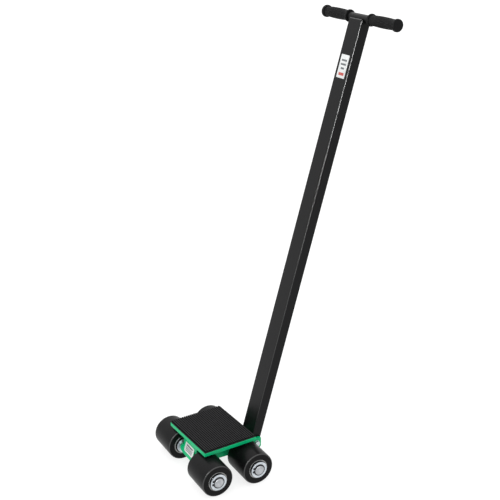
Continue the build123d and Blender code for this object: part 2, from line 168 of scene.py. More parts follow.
# Welds: the length of one pool, ripples and strays as shares of the radius, and how far beads stand off
POOL = 2.4
POOL_STEPS = 6
RIPPLE = 0.22
RIPPLE_POWER = 0.6
STRAY = 0.2
STRAY_SIZE = 7.0
STRAY_SEED = 3.0
LEAST_GIRTH = 0.8
BEAD_SIDES = 10
DECK_BEAD = 0.7
BOSS_BEAD = 0.5
FRAME_BEAD_RADIUS = 1.5
HANDLE_BEAD_RADIUS = 2.1
HANDLE_BEAD_IN = 0.6
HANDLE_BEAD_UP = 0.4
# A boss weld's end of the frame, and where it starts and stops, in degrees
BOSS_RUNS = ((1, 0, 355), (-1, -38, 107))
BOSS_STEP = 5

# Grips
RING_COUNT = 24
RING_RADIUS = 0.45
RING_SIDES = 64
RING_SECTION_SIDES = 8
BARREL_STEPS = 24

# Films and their plain bars: height over the film's middle, half height, half width and ink
FOIL_CORNER = 2.0
FOIL_EDGE = 0.12
GREY_INK = "#5d6164"
RED_INK = "#b8453d"
STICKER_BARS = (
    (15, 2.4, 11, GREY_INK),
    (5, 2.4, 11, GREY_INK),
    (-5, 2.4, 7, GREY_INK),
    (-19, 3.5, 11, RED_INK),
)
LABEL_BARS = (
    (6.5, 2.2, 17, GREY_INK),
    (0.5, 1.2, 17, GREY_INK),
    (-3.5, 1.2, 17, GREY_INK),
    (-7.5, 1.2, 17, GREY_INK),
)

# Looks: the range that most of a noise's values lie in, and refractive indices
NOISE_SPAN = (0.3, 0.7)
PAINT_INDEX = 1.5
VINYL_INDEX = 1.5
RUBBER_INDEX = 1.52
NYLON_INDEX = 1.53
METAL = {"Metallic": 1.0}
# Powder coat: orange peel, clouds of tone, and a film that is thin where the surface bends, mixed paler
# there, partly for the thinner film and partly as a painted highlight
PEEL_SIZE = 1.6
PEEL_STRENGTH = 0.25
PEEL_DEPTH = 0.06
CLOUD_SIZE = 45.0
CLOUD_TONES = (0.93, 1.05)
COAT_EDGE = 0.9
COAT_EDGE_SAMPLES = 6
THIN_AND_HIGHLIT_BENDS = (0.99, 0.8)
THIN_AND_HIGHLIT_SHARE = 0.8
# Where a corner counts as a corner: the square of the normal's Y part, folded at a half
CORNER_TURN = (0.03, 0.25)
# Grain and turning marks: edges, bump and the range of tones
GRAIN_EDGE = 0.3
GRAIN_EDGE_SAMPLES = 4
GRAIN_STRENGTH = 0.4
GRAIN_TONES = (0.14, 0.38)
TURNED_TONES = (0.12, 0.4)
# Mat rubber: grain, rubbed patches, and the depths over which rib tops and the skirt turn grey, partly as
# wear and partly as painted light; the grooves are painted near black as shade
MAT_GRAIN = 0.9
MAT_GRAIN_STRENGTH = 0.5
MAT_GRAIN_DEPTH = 0.08
MAT_RUBS = 22.0
MAT_WEAR = (0.7, 1.0)
MAT_ROUGHNESS = (0.55, 0.75)
CREST_DEPTH = 0.3
SKIRT_DEPTHS = (0.1, 0.5)


# Node helpers


def hex_colour(code):
    """Linear colour of an sRGB hex value."""
    channels = [int(code[start : start + 2], 16) / 255 for start in (1, 3, 5)]
    linear = [c / 12.92 if c <= 0.04045 else ((c + 0.055) / 1.055) ** 2.4 for c in channels]
    return (*linear, 1.0)


def add(tree, kind, fields=None, sockets=None):
    """Add a node to a tree, set its fields, and set or link its sockets."""
    node = tree.nodes.new(kind)
    for name, value in (fields or {}).items():
        setattr(node, name, value)
    for name, value in (sockets or {}).items():
        if isinstance(value, bpy.types.NodeSocket):
            tree.links.new(value, node.inputs[name])
        else:
            node.inputs[name].default_value = value
    return node


def maths(tree, operation, *values):
    """Result of an operation on values or sockets."""
    return add(tree, "ShaderNodeMath", {"operation": operation}, dict(enumerate(values))).outputs["Value"]


def vector(tree, **parts):
    return add(tree, "ShaderNodeCombineXYZ", None, parts).outputs["Vector"]


def split(tree, given):
    return add(tree, "ShaderNodeSeparateXYZ", None, {"Vector": given}).outputs


def remap(tree, value, low, high, start=0.0, stop=1.0):
    """A value whose range from low to high is laid over start to stop."""
    sockets = {"Value": value, "From Min": low, "From Max": high, "To Min": start, "To Max": stop}
    return add(tree, "ShaderNodeMapRange", None, sockets).outputs["Result"]


def blend(tree, share, first, second):
    """Colour between two, by the share of the second."""
    return add(tree, "ShaderNodeMix", {"data_type": "RGBA"}, {0: share, 6: first, 7: second}).outputs[2]


def per_metre(size):
    """Texture scale at which one cell of the pattern is this many millimetres."""
    return 1 / (size * MM)


def noise(tree, place, size, detail, roughness=0.5):
    """Noise whose cells are this many millimetres."""
    sockets = {"Vector": place, "Scale": per_metre(size), "Detail": detail, "Roughness": roughness}
    return add(tree, "ShaderNodeTexNoise", None, sockets).outputs["Fac"]


def softened(tree, radius, samples):
    """Normal that runs round the edges as if they had this radius."""
    return add(tree, "ShaderNodeBevel", {"samples": samples}, {"Radius": radius * MM}).outputs["Normal"]


def raised(tree, height, strength, depth, normal=None):
    """Normal of a surface with relief, laid over another normal if there is one."""
    sockets = {"Strength": strength, "Distance": depth * MM, "Height": height}
    if normal is not None:
        sockets["Normal"] = normal
    return add(tree, "ShaderNodeBump", None, sockets).outputs["Normal"]


# Materials


def coating(level, index):
    """Shader values of a paint, plastic or rubber: its specular level and its refractive index."""
    return {"Specular IOR Level": level, "IOR": index}


def new_material(name, fixed):
    """A material with its shader, whose constant sockets are set here, and the place on the piece."""
    material = bpy.data.materials.new(name)
    material.use_nodes = True
    tree = material.node_tree
    shader = tree.nodes["Principled BSDF"]
    for socket, value in fixed.items():
        shader.inputs[socket].default_value = value
    place = add(tree, "ShaderNodeTexCoord").outputs["Object"]
    return material, tree, shader, place


def join_up(tree, shader, colour, roughness, normal):
    """Link a finished colour, roughness and normal to the shader."""
    tree.links.new(colour, shader.inputs["Base Color"])
    tree.links.new(roughness, shader.inputs["Roughness"])
    tree.links.new(normal, shader.inputs["Normal"])


def powder_coat(name, film, thin_film_and_highlight, fixed, rough):
    """Powder coat baked on steel: an even film with orange peel, drawn thinner and paler over the edges,
    the paleness partly a painted highlight.
    """
    material, tree, shader, place = new_material(name, fixed)
    peel = noise(tree, place, PEEL_SIZE, detail=2.0)
    cloud = noise(tree, place, CLOUD_SIZE, detail=4.0)
    rounded = softened(tree, COAT_EDGE, COAT_EDGE_SAMPLES)
    flat = add(tree, "ShaderNodeNewGeometry").outputs["Normal"]
    bend = add(tree, "ShaderNodeVectorMath", {"operation": "DOT_PRODUCT"}, {0: rounded, 1: flat})
    # Edges are mixed toward the paler colour: partly a thinner coat, partly a painted highlight
    edge = remap(tree, bend.outputs["Value"], *THIN_AND_HIGHLIT_BENDS, 0.0, THIN_AND_HIGHLIT_SHARE)
    tone = remap(tree, cloud, *NOISE_SPAN, *CLOUD_TONES)
    scaled = {0: hex_colour(film)[:3], "Scale": tone}
    shade = add(tree, "ShaderNodeVectorMath", {"operation": "SCALE"}, scaled).outputs["Vector"]
    colour = blend(tree, edge, shade, hex_colour(thin_film_and_highlight))
    gloss = remap(tree, cloud, *NOISE_SPAN, *rough)
    join_up(tree, shader, colour, gloss, raised(tree, peel, PEEL_STRENGTH, PEEL_DEPTH, rounded))
    return material


def gloss_on_corners(material, corner):
    """Raises the specular level where sides that face along Y and across it turn into each other."""
    tree = material.node_tree
    level = tree.nodes["Principled BSDF"].inputs["Specular IOR Level"]
    facing = split(tree, add(tree, "ShaderNodeTexCoord").outputs["Normal"])["Y"]
    bent = maths(tree, "PINGPONG", maths(tree, "MULTIPLY", facing, facing), 0.5)
    tree.links.new(remap(tree, bent, *CORNER_TURN, level.default_value, corner), level)


def turning_marks(tree, place, pitch):
    """Height of the fine grooves that a lathe leaves round the nearest axle, on end faces and treads."""
    parts = split(tree, place)
    across = maths(tree, "SUBTRACT", maths(tree, "ABSOLUTE", parts["X"]), AXLE_X * MM)
    up = maths(tree, "SUBTRACT", parts["Z"], AXLE_Z * MM)
    spoke = {0: vector(tree, X=across, Z=up)}
    radius = add(tree, "ShaderNodeVectorMath", {"operation": "LENGTH"}, spoke).outputs["Value"]
    path = maths(tree, "ADD", radius, parts["Y"])
    return noise(tree, vector(tree, X=path), pitch, detail=3.0, roughness=0.6)


def dress(given, relief, tones, pale, dark, rough, depth, mottle):
    """Finish a material whose tone follows its relief, with a slow mottle in tone and gloss."""
    material, tree, shader, place = given
    slow = noise(tree, place, mottle, detail=4.0)
    tone = remap(tree, maths(tree, "MULTIPLY", relief, slow), *tones)
    colour = blend(tree, tone, hex_colour(dark), hex_colour(pale))
    gloss = remap(tree, slow, *NOISE_SPAN, *rough)
    rounded = softened(tree, GRAIN_EDGE, GRAIN_EDGE_SAMPLES)
    join_up(tree, shader, colour, gloss, raised(tree, relief, GRAIN_STRENGTH, depth, rounded))
    return material


def turned_surface(name, pale, dark, fixed, rough, pitch, depth, mottle):
    """A turned or ground surface: grooves round the axle, tone that follows them, and a faint mottle."""
    given = new_material(name, fixed)
    marks = turning_marks(given[1], given[3], pitch)
    return dress(given, marks, TURNED_TONES, pale, dark, rough, depth, mottle)


def grained_surface(name, pale, dark, fixed, rough, grain, depth, mottle):
    """A surface with an even fine grain and a slow change of tone, as on rubber, plating and bronze."""
    given = new_material(name, fixed)
    fine = noise(given[1], given[3], grain, detail=3.0)
    return dress(given, fine, GRAIN_TONES, pale, dark, rough, depth, mottle)


def ribbed_rubber(name, shaded_groove_colour, rubbed_and_lit_colour, fixed):
    """Moulded rubber mat: dull, with a fine grain, near black in its grooves as painted shade, and greyer
    on its rib tops and outer side, partly rubbed wear and partly painted light.
    """
    material, tree, shader, place = new_material(name, fixed)
    height = split(tree, place)["Z"]
    grain = noise(tree, place, MAT_GRAIN, detail=3.0)
    rubs = noise(tree, place, MAT_RUBS, detail=5.0)
    groove = PLATE_TOP + MAT_BASE
    top = groove + RIB_HEIGHT
    skirt = remap(tree, height, *((groove - depth) * MM for depth in SKIRT_DEPTHS))
    crest = remap(tree, height, (top - CREST_DEPTH) * MM, top * MM)
    worn = remap(tree, rubs, *NOISE_SPAN, *MAT_WEAR)
    # Rib tops and the outer side turn paler, partly rubbed wear and partly painted light; the grooves keep
    # the near black of painted shade
    rubbed_and_lit = maths(tree, "MULTIPLY", maths(tree, "MAXIMUM", skirt, crest), worn)
    colour = blend(tree, rubbed_and_lit, hex_colour(shaded_groove_colour), hex_colour(rubbed_and_lit_colour))
    gloss = remap(tree, rubs, *NOISE_SPAN, *MAT_ROUGHNESS)
    join_up(tree, shader, colour, gloss, raised(tree, grain, MAT_GRAIN_STRENGTH, MAT_GRAIN_DEPTH))
    return material


# Each finish: its colours, its specular level and index, the range of its roughness, then its relief
finishes = {
    # Green polyester powder coat, baked: clean colour, soft gloss, a paler line along every edge, partly
    # thin coat and partly a painted highlight
    "frame_green": powder_coat(
        "green_powder_coat", "#00b071", "#40c69e", coating(0.17, PAINT_INDEX), (0.3, 0.4)
    ),
    # Black powder coat on the handle: satin, near black, a grey line along the corners, partly thin coat
    # and partly a painted highlight
    "handle_black": powder_coat(
        "black_powder_coat", "#0f0f10", "#2a2a2b", coating(0.13, PAINT_INDEX), (0.3, 0.38)
    ),
    # The same coat over a weld, mixed paler than on the tube as a painted highlight, and glossier, so the
    # ripples glint
    "weld_black": powder_coat(
        "black_coat_on_weld", "#1a1a1b", "#4c4c4d", coating(0.6, PAINT_INDEX), (0.22, 0.3)
    ),
    # Natural rubber, moulded with ribs
    "mat_rubber": ribbed_rubber("moulded_mat_rubber", "#020202", "#2f2f30", coating(0.04, RUBBER_INDEX)),
    # Cast nylon, turned: satin black with fine rings
    "roller_nylon": turned_surface(
        "turned_black_nylon",
        "#131314",
        "#0c0c0d",
        coating(0.08, NYLON_INDEX),
        (0.28, 0.38),
        pitch=1.2,
        depth=0.05,
        mottle=30,
    ),
    # Drawn bright steel, faced on the lathe
    "axle_steel": turned_surface(
        "bright_drawn_steel", "#bfc2c5", "#999ca0", METAL, (0.3, 0.42), pitch=0.5, depth=0.02, mottle=9
    ),
    # Ground bearing steel, mixed darker than bright steel as painted shade for the rings in their recessed
    # seats
    "bearing_steel": turned_surface(
        "ground_bearing_steel", "#9c9c9b", "#6e6e6d", METAL, (0.16, 0.26), pitch=0.4, depth=0.01, mottle=12
    ),
    # Nitrile rubber, moulded: dull black with faint rings
    "bearing_seal": turned_surface(
        "moulded_seal_rubber",
        "#141415",
        "#0a0a0b",
        coating(0.15, RUBBER_INDEX),
        (0.5, 0.62),
        pitch=0.8,
        depth=0.03,
        mottle=14,
    ),
    # Moulded polyamide, amber and slightly oily
    "bearing_cage": grained_surface(
        "moulded_cage_polyamide",
        "#8a7150",
        "#6b5537",
        coating(0.4, NYLON_INDEX),
        (0.35, 0.5),
        grain=0.6,
        depth=0.02,
        mottle=10,
    ),
    # Spring steel, phosphated and oiled: dull black
    "spring_steel": grained_surface(
        "phosphated_spring_steel",
        "#3a3a3d",
        "#1c1c1e",
        {"Metallic": 0.6},
        (0.42, 0.58),
        grain=0.4,
        depth=0.03,
        mottle=6,
    ),
    # Bright zinc plate, faintly blue and patchy
    "zinc_steel": grained_surface(
        "bright_zinc_plate", "#d8dee3", "#b4bbc1", METAL, (0.28, 0.42), grain=0.7, depth=0.02, mottle=8
    ),
    # Sintered bronze with open pores
    "bronze": grained_surface(
        "sintered_bronze", "#b5834c", "#7a5228", METAL, (0.4, 0.55), grain=0.5, depth=0.05, mottle=7
    ),
    # Soft grip rubber, moulded: dull black with a light bloom
    "grip_rubber": grained_surface(
        "moulded_grip_rubber",
        "#131314",
        "#0a0a0b",
        coating(0.1, RUBBER_INDEX),
        (0.5, 0.65),
        grain=0.8,
        depth=0.06,
        mottle=16,
    ),
}
# White vinyl film of the label and the sticker: a slow change of tone, a soft gloss
for slot in ("label_white", "sticker"):
    finishes[slot] = grained_surface(
        slot + "_vinyl",
        "#e6e8e7",
        "#cdd0d0",
        coating(0.5, VINYL_INDEX),
        (0.28, 0.42),
        grain=1.5,
        depth=0.02,
        mottle=18,
    )
# The tube's bends and the rollers' rims gleam more than their flat sides
gloss_on_corners(finishes["handle_black"], 0.6)
gloss_on_corners(finishes["roller_nylon"], 0.7)

for piece in nodes.values():
    slot = piece.material_slots[0].material.name.split(".")[0]
    piece.material_slots[0].material = finishes[slot]


# Mesh helpers


def mesh_of(shape, name):
    """Mesh of a closed shape, smooth but for its sharp edges."""
    bmesh.ops.recalc_face_normals(shape, faces=shape.faces)
    for face in shape.faces:
        face.smooth = True
    for edge in shape.edges:
        edge.smooth = len(edge.link_faces) == 2 and edge.calc_face_angle() < SHARP_ANGLE
    mesh = bpy.data.meshes.new(name)
    shape.to_mesh(mesh)
    shape.free()
    return mesh


def set_down(name, mesh, slot, body, *stands_for, finish=None):
    """Put a mesh in the scene, on its body, with its finish, in place of the CAD nodes it stands for."""
    mesh.materials.clear()
    mesh.materials.append(finishes[finish or slot])
    piece = bpy.data.objects.new(name, mesh)
    bpy.context.scene.collection.objects.link(piece)
    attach(piece, body)
    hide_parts(*stands_for)
    return piece


def turn(shape, stations, place, around):
    """Turn a closed outline about the Y axis of place and add it to a shape.
    A station is a radius and a Y, or a rule that gives both for an angle. A radius of 0 is on the axis."""
    rows = []
    for station in stations:
        fixed = None if callable(station) else station
        row = []
        for step in range(1 if fixed and fixed[0] == 0 else around):
            angle = 2 * math.pi * step / around
            radius, y = fixed or station(angle)
            point = Vector((radius * math.cos(angle), y, radius * math.sin(angle))) * MM
            row.append(shape.verts.new(place @ point))
        rows.append(row)
    pairs = list(zip(rows, rows[1:]))
    if len(rows[0]) > 1:
        pairs.append((rows[-1], rows[0]))
    for low, high in pairs:
        for step in range(around):
            after = step + 1
            corners = [
                low[step % len(low)],
                low[after % len(low)],
                high[after % len(high)],
                high[step % len(high)],
            ]
            shape.faces.new(list(dict.fromkeys(corners)))


def turned(name, *jobs, around=TURNED_SIDES):
    """Mesh of outlines that are each turned about the Y axis of their place."""
    shape = bmesh.new()
    for stations, place in jobs:
        turn(shape, stations, place, around)
    return mesh_of(shape, name)


def arc(centre, radius, start, stop, steps):
    """Points of an arc in an outline, by angle in degrees."""
    points = []
    for step in range(steps + 1):
        angle = math.radians(start + (stop - start) * step / steps)
        points.append((centre[0] + radius * math.cos(angle), centre[1] + radius * math.sin(angle)))
    return points


def at(x, y, z):
    return Matrix.Translation(Vector((x, y, z)) * MM)


# Rollers, bearing seals, and the flanged rings and spacers on the axles


def roller_outline(side):
    """Outline of a roller: rounded rims, a through bore and a lipped seat for a bearing at each end."""
    flat = ROLLER_RADIUS - ROLLER_EDGE
    outline = [(SEAT_RADIUS + SEAT_LIP, ROLLER_IN)]
    outline += arc((flat, ROLLER_IN + ROLLER_EDGE), ROLLER_EDGE, -90, 0, ROLLER_EDGE_STEPS)
    outline += arc((flat, ROLLER_OUT - ROLLER_EDGE), ROLLER_EDGE, 0, 90, ROLLER_EDGE_STEPS)
    outline += [
        (SEAT_RADIUS + SEAT_LIP, ROLLER_OUT),
        (SEAT_RADIUS, ROLLER_OUT - SEAT_LIP),
        (SEAT_RADIUS, ROLLER_OUT - SEAT_DEPTH),
        (ROLLER_BORE, ROLLER_OUT - SEAT_DEPTH),
        (ROLLER_BORE, ROLLER_IN + SEAT_DEPTH),
        (SEAT_RADIUS, ROLLER_IN + SEAT_DEPTH),
        (SEAT_RADIUS, ROLLER_IN + SEAT_LIP),
    ]
    return [(radius, side * y) for radius, y in outline]


def seal_outline(face, way):
    """Moulded seal: a bead at the rim, a dished ring and a lip. Way points out of the bearing."""
    front = [(SEAL_OUTER - back, face - way * depth) for back, depth in SEAL_BEAD]
    front += [(SEAL_INNER + back, face - way * depth) for back, depth in SEAL_LIP]
    rear = [(radius, face - way * SEAL_THICKNESS) for radius in (SEAL_INNER, SEAL_OUTER)]
    return front + rear


def washer_outline(side):
    """Flanged ring: a hub on the bearing's inner ring and a flange with softened rims over the seal."""
    low = ROLLER_OUT - BEARING_SINK
    high = low + WASHER_THICKNESS
    bore = AXLE_RADIUS + WASHER_FIT
    under = high - WASHER_FLANGE
    outline = [(bore, low), (WASHER_HUB, low), (WASHER_HUB, under), (WASHER_RADIUS - RIM_CHAMFER, under)]
    outline += arc((WASHER_RADIUS - RIM_ROUND, high - RIM_ROUND), RIM_ROUND, 0, 90, RIM_STEPS)
    outline += arc((bore + BORE_ROUND, high - BORE_ROUND), BORE_ROUND, 90, 180, RIM_STEPS)
    return [(radius, side * y) for radius, y in outline]


def spacer_outline(side):
    """Sleeve between a boss and the inner bearing, with a smaller flange and softened rims."""
    stop = ROLLER_IN + BEARING_SINK
    face = stop - WASHER_THICKNESS
    under = face + WASHER_FLANGE
    bore = AXLE_RADIUS + WASHER_FIT
    outline = [(bore, SPACER_START)]
    outline += arc((SPACER_RADIUS - RIM_ROUND, SPACER_START + RIM_ROUND), RIM_ROUND, -90, 0, RIM_STEPS)
    outline.append((SPACER_RADIUS, face))
    outline += arc((SPACER_FLANGE - RIM_ROUND, face + RIM_ROUND), RIM_ROUND, -90, 0, RIM_STEPS)
    outline += [
        (SPACER_FLANGE - RIM_CHAMFER, under),
        (WASHER_HUB, under),
        (WASHER_HUB, stop),
        (bore, stop),
    ]
    return [(radius, side * y) for radius, y in outline]


spacers = []
washers = []
for end, front in ENDS.items():
    for side_name, side in SIDES.items():
        corner = f"{end}_{side_name}"
        place = at(front * AXLE_X, 0, AXLE_Z)
        body = f"wheel_{corner}"
        roller = turned("roller", (roller_outline(side), place), around=ROLLER_SIDES)
        set_down(f"nylon_roller_{corner}", roller, "roller_nylon", body, f"roller_{corner}")
        inner_seal = ROLLER_IN + BEARING_SINK + SEAL_SINK
        outer_seal = ROLLER_OUT - BEARING_SINK - SEAL_SINK
        across = BEARING_WIDTH - 2 * SEAL_SINK
        seal_faces = (
            (inner_seal, -1),
            (inner_seal + across, 1),
            (outer_seal - across, -1),
            (outer_seal, 1),
        )
        seals = turned("seals", *((seal_outline(side * y, side * way), place) for y, way in seal_faces))
        set_down(f"moulded_seals_{corner}", seals, "bearing_seal", body, f"bearing_seals_{corner}")
        spacers.append((spacer_outline(side), place))
        washers.append((washer_outline(side), place))
set_down("zinc_axle_spacers", turned("spacers", *spacers), "zinc_steel", "chassis", "axle_spacers")
set_down("flanged_axle_washers", turned("washers", *washers), "zinc_steel", "chassis", "axle_washers")


# Hexagon heads, nuts and threads


def hexagon_rule(flats, height, drop):
    """Station of a hexagon's rim at a height. Drop tilts the rim down at the corners, as a chamfer does."""

    def rule(angle):
        radius = flats / 2 / math.cos((angle % (math.pi / 3)) - math.pi / 6)
        return radius, height - drop * (radius - flats / 2 * HEX_FACE) * math.tan(math.pi / 6)

    return rule


def thread_rule(radius, y, pitch, depth):
    """Station of a thread: a groove that climbs one pitch each turn."""

    def rule(angle):
        phase = (y / pitch - angle / (2 * math.pi)) % 1
        return radius - depth * (1 - abs(2 * phase - 1)), y

    return rule


def threaded_end(radius, start, stop, thread):
    """Stations of a threaded end with its tip chamfered, from start to stop."""
    pitch, depth, tip_length = thread
    way = 1 if stop > start else -1
    start += way * THREAD_START
    count = round(abs(stop - tip_length * way - start) / pitch * THREAD_STEPS)
    stations = []
    for step in range(count + 1):
        y = start + way * step * pitch / THREAD_STEPS
        stations.append(thread_rule(radius, y, pitch, depth))
    tip = radius - depth - THREAD_TIP
    return stations + [(tip, stop), (0, stop)]


def bolt_stations():
    """Hexagon bolt that points to the left: head, plain shank and thread."""
    top = -BOLT_SEAT - BOLT_HEAD
    collar = -BOLT_SEAT - HEX_COLLAR_HEIGHT
    collar_radius = BOLT_FLATS / 2 * HEX_COLLAR
    return [
        (0, top),
        (BOLT_FLATS / 2 * HEX_FACE, top),
        hexagon_rule(BOLT_FLATS, top, -1),
        hexagon_rule(BOLT_FLATS, collar, 0),
        (collar_radius, collar),
        (collar_radius, -BOLT_SEAT),
        (PIN_RADIUS, -BOLT_SEAT),
        (PIN_RADIUS, BOLT_SEAT),
        *threaded_end(PIN_RADIUS, BOLT_SEAT, BOLT_END, BOLT_THREAD),
    ]


def nut_stations(flats, bore, low, high):
    """Hexagon nut with its corners taken off at both ends, from low to high."""
    return [
        (bore, low),
        (flats / 2 * HEX_FACE, low),
        hexagon_rule(flats, low, -1),
        hexagon_rule(flats, high, 1),
        (flats / 2 * HEX_FACE, high),
        (bore, high),
    ]


def king_stations():
    """King pin: a flat head in the plate, a plain shank and a thread for the nut at its foot."""
    nut_bottom = KING_NUT_TOP - KING_NUT_HEIGHT
    return [
        (0, PLATE_TOP),
        (KING_HEAD_RADIUS, PLATE_TOP),
        (KING_HEAD_RADIUS, PLATE_TOP - KING_HEAD),
        (KING_RADIUS, PLATE_TOP - KING_HEAD),
        (KING_RADIUS, KING_NUT_TOP),
        *threaded_end(KING_RADIUS, KING_NUT_TOP, nut_bottom - KING_TAIL, KING_THREAD),
    ]


pivot = at(PIN_X, 0, PIN_Z)
bolt = turned("bolt", (bolt_stations(), pivot))
set_down("hexagon_pivot_bolt", bolt, "zinc_steel", "chassis", "pivot_bolt")
nut = nut_stations(BOLT_FLATS, PIN_RADIUS + SEAT_FIT, BOLT_SEAT, BOLT_SEAT + NUT_HEIGHT)
set_down("hexagon_pivot_nut", turned("nut", (nut, pivot)), "zinc_steel", "chassis", "pivot_nut")

upright = Matrix.Rotation(math.radians(90), 4, "X")
king_pin = turned("king_pin", (king_stations(), upright))
set_down("threaded_king_pin", king_pin, "axle_steel", "swivel", "king_pin")
nut = nut_stations(KING_NUT_FLATS, KING_RADIUS + SEAT_FIT, KING_NUT_TOP - KING_NUT_HEIGHT, KING_NUT_TOP)
set_down("hexagon_king_nut", turned("king_nut", (nut, upright)), "zinc_steel", "swivel", "king_pin_nut")


# Node trees for what repeats: the mat's ribs, the ripples of a weld and the rings of a grip


def new_tree(name, counts, sizes):
    """An empty geometry tree and its inputs: a geometry, a finish, and named counts and sizes."""
    tree = bpy.data.node_groups.new(name, "GeometryNodeTree")
    tree.interface.new_socket("Geometry", in_out="OUTPUT", socket_type="NodeSocketGeometry")
    kinds = {"Geometry": "NodeSocketGeometry", "Finish": "NodeSocketMaterial"}
    kinds.update({label: "NodeSocketInt" for label in counts})
    kinds.update({label: "NodeSocketFloat" for label in sizes})
    for label, kind in kinds.items():
        tree.interface.new_socket(label, in_out="INPUT", socket_type=kind)
    return tree, add(tree, "NodeGroupInput").outputs


def circle(tree, sides, radius):
    sockets = {"Resolution": sides, "Radius": radius}
    return add(tree, "GeometryNodeCurvePrimitiveCircle", None, sockets).outputs["Curve"]


def swept(tree, path, section, sockets=None):
    """Mesh of a section that follows a path."""
    given = {"Curve": path, "Profile Curve": section, **(sockets or {})}
    return add(tree, "GeometryNodeCurveToMesh", None, given).outputs["Mesh"]


def row_of(tree, piece, count, start, step, sockets=None):
    """Copies of a piece in a straight row, from a start point and one step apart."""
    line = {"Count": count, "Start Location": start, "Offset": step}
    points = add(tree, "GeometryNodeMeshLine", None, line).outputs["Mesh"]
    given = {"Points": points, "Instance": piece, **(sockets or {})}
    return add(tree, "GeometryNodeInstanceOnPoints", None, given).outputs["Instances"]


def close_tree(tree, material, *parts):
    """End a tree: its parts joined, copies made real, the finish set."""
    joined = add(tree, "GeometryNodeJoinGeometry")
    for part in parts:
        tree.links.new(part, joined.inputs["Geometry"])
    real = add(tree, "GeometryNodeRealizeInstances", None, {"Geometry": joined.outputs["Geometry"]})
    sockets = {"Geometry": real.outputs["Geometry"], "Material": material}
    dressed = add(tree, "GeometryNodeSetMaterial", None, sockets)
    add(tree, "NodeGroupOutput", None, {"Geometry": dressed.outputs["Geometry"]})


def grow(tree, source, sizes):
    """Run a tree on a source mesh with these sizes and give the result as a plain mesh."""
    host = bpy.data.objects.new("host", source)
    bpy.context.scene.collection.objects.link(host)
    modifier = host.modifiers.new("nodes", "NODES")
    modifier.node_group = tree
    for socket in tree.interface.items_tree:
        if socket.in_out == "INPUT" and socket.name in sizes:
            modifier[socket.identifier] = sizes[socket.name]
    evaluated = host.evaluated_get(bpy.context.evaluated_depsgraph_get())
    mesh = bpy.data.meshes.new_from_object(evaluated)
    host.modifiers.remove(modifier)
    bpy.data.objects.remove(host)
    return mesh


def close_seams(mesh):
    """Close seams, turn the faces out and set which edges are sharp."""
    shape = bmesh.new()
    shape.from_mesh(mesh)
    bmesh.ops.remove_doubles(shape, verts=shape.verts, dist=0.001 * MM)
    return mesh_of(shape, mesh.name)


def rib_tree():
    """Ribs side by side on a base: a rounded bar, swept along Y and repeated along X."""
    sizes = ("Pitch", "Length", "Foot", "Top", "Height", "Round", "Level")
    tree, given = new_tree("mat_ribs", ["Count"], sizes)
    section = add(
        tree,
        "GeometryNodeCurvePrimitiveQuadrilateral",
        {"mode": "TRAPEZOID"},
        {
            "Height": given["Height"],
            "Bottom Width": given["Foot"],
            "Top Width": given["Top"],
            "Offset": 0.0,
        },
    )
    rounded = add(
        tree,
        "GeometryNodeFilletCurve",
        {"mode": "POLY"},
        {"Curve": section.outputs["Curve"], "Count": 3, "Radius": given["Round"], "Limit Radius": True},
    )
    ends = {
        "Start": vector(tree, Y=maths(tree, "MULTIPLY", given["Length"], -0.5)),
        "End": vector(tree, Y=maths(tree, "MULTIPLY", given["Length"], 0.5)),
    }
    line = add(tree, "GeometryNodeCurvePrimitiveLine", None, ends).outputs["Curve"]
    level = add(tree, "GeometryNodeSetCurveNormal", {"mode": "Z_UP"}, {"Curve": line}).outputs["Curve"]
    bar = swept(tree, level, rounded.outputs["Curve"], {"Fill Caps": True})
    gaps = maths(tree, "SUBTRACT", given["Count"], 1.0)
    reach = maths(tree, "MULTIPLY", gaps, given["Pitch"])
    start = vector(tree, X=maths(tree, "MULTIPLY", reach, -0.5), Z=given["Level"])
    ribs = row_of(tree, bar, given["Count"], start, vector(tree, X=given["Pitch"]))
    close_tree(tree, given["Finish"], given["Geometry"], ribs)
    return tree


def bead_tree():
    """Weld bead along a path: a round bar whose girth ripples once for each pool and strays a little."""
    tree, given = new_tree("weld_bead", ["Sides"], ("Radius", "Ripple", "Pool", "Step", "Stray"))
    path = add(tree, "GeometryNodeMeshToCurve", None, {"Mesh": given["Geometry"]}).outputs["Curve"]
    sockets = {"Curve": path, "Length": given["Step"]}
    fine = add(tree, "GeometryNodeResampleCurve", {"mode": "LENGTH"}, sockets).outputs["Curve"]
    along = add(tree, "GeometryNodeSplineParameter").outputs["Length"]
    phase = maths(tree, "FRACT", maths(tree, "DIVIDE", along, given["Pool"]))
    swell = maths(tree, "MULTIPLY", maths(tree, "POWER", phase, RIPPLE_POWER), given["Ripple"])
    sockets = {
        "Vector": add(tree, "GeometryNodeInputPosition").outputs["Position"],
        "W": STRAY_SEED,
        "Scale": per_metre(STRAY_SIZE),
        "Detail": 2.0,
    }
    stray = add(tree, "ShaderNodeTexNoise", {"noise_dimensions": "4D"}, sockets).outputs["Fac"]
    drift = maths(tree, "MULTIPLY", stray, given["Stray"])
    girth = maths(tree, "ADD", maths(tree, "ADD", swell, drift), LEAST_GIRTH)
    section = circle(tree, given["Sides"], given["Radius"])
    bead = swept(tree, fine, section, {"Scale": girth, "Fill Caps": True})
    close_tree(tree, given["Finish"], bead)
    return tree


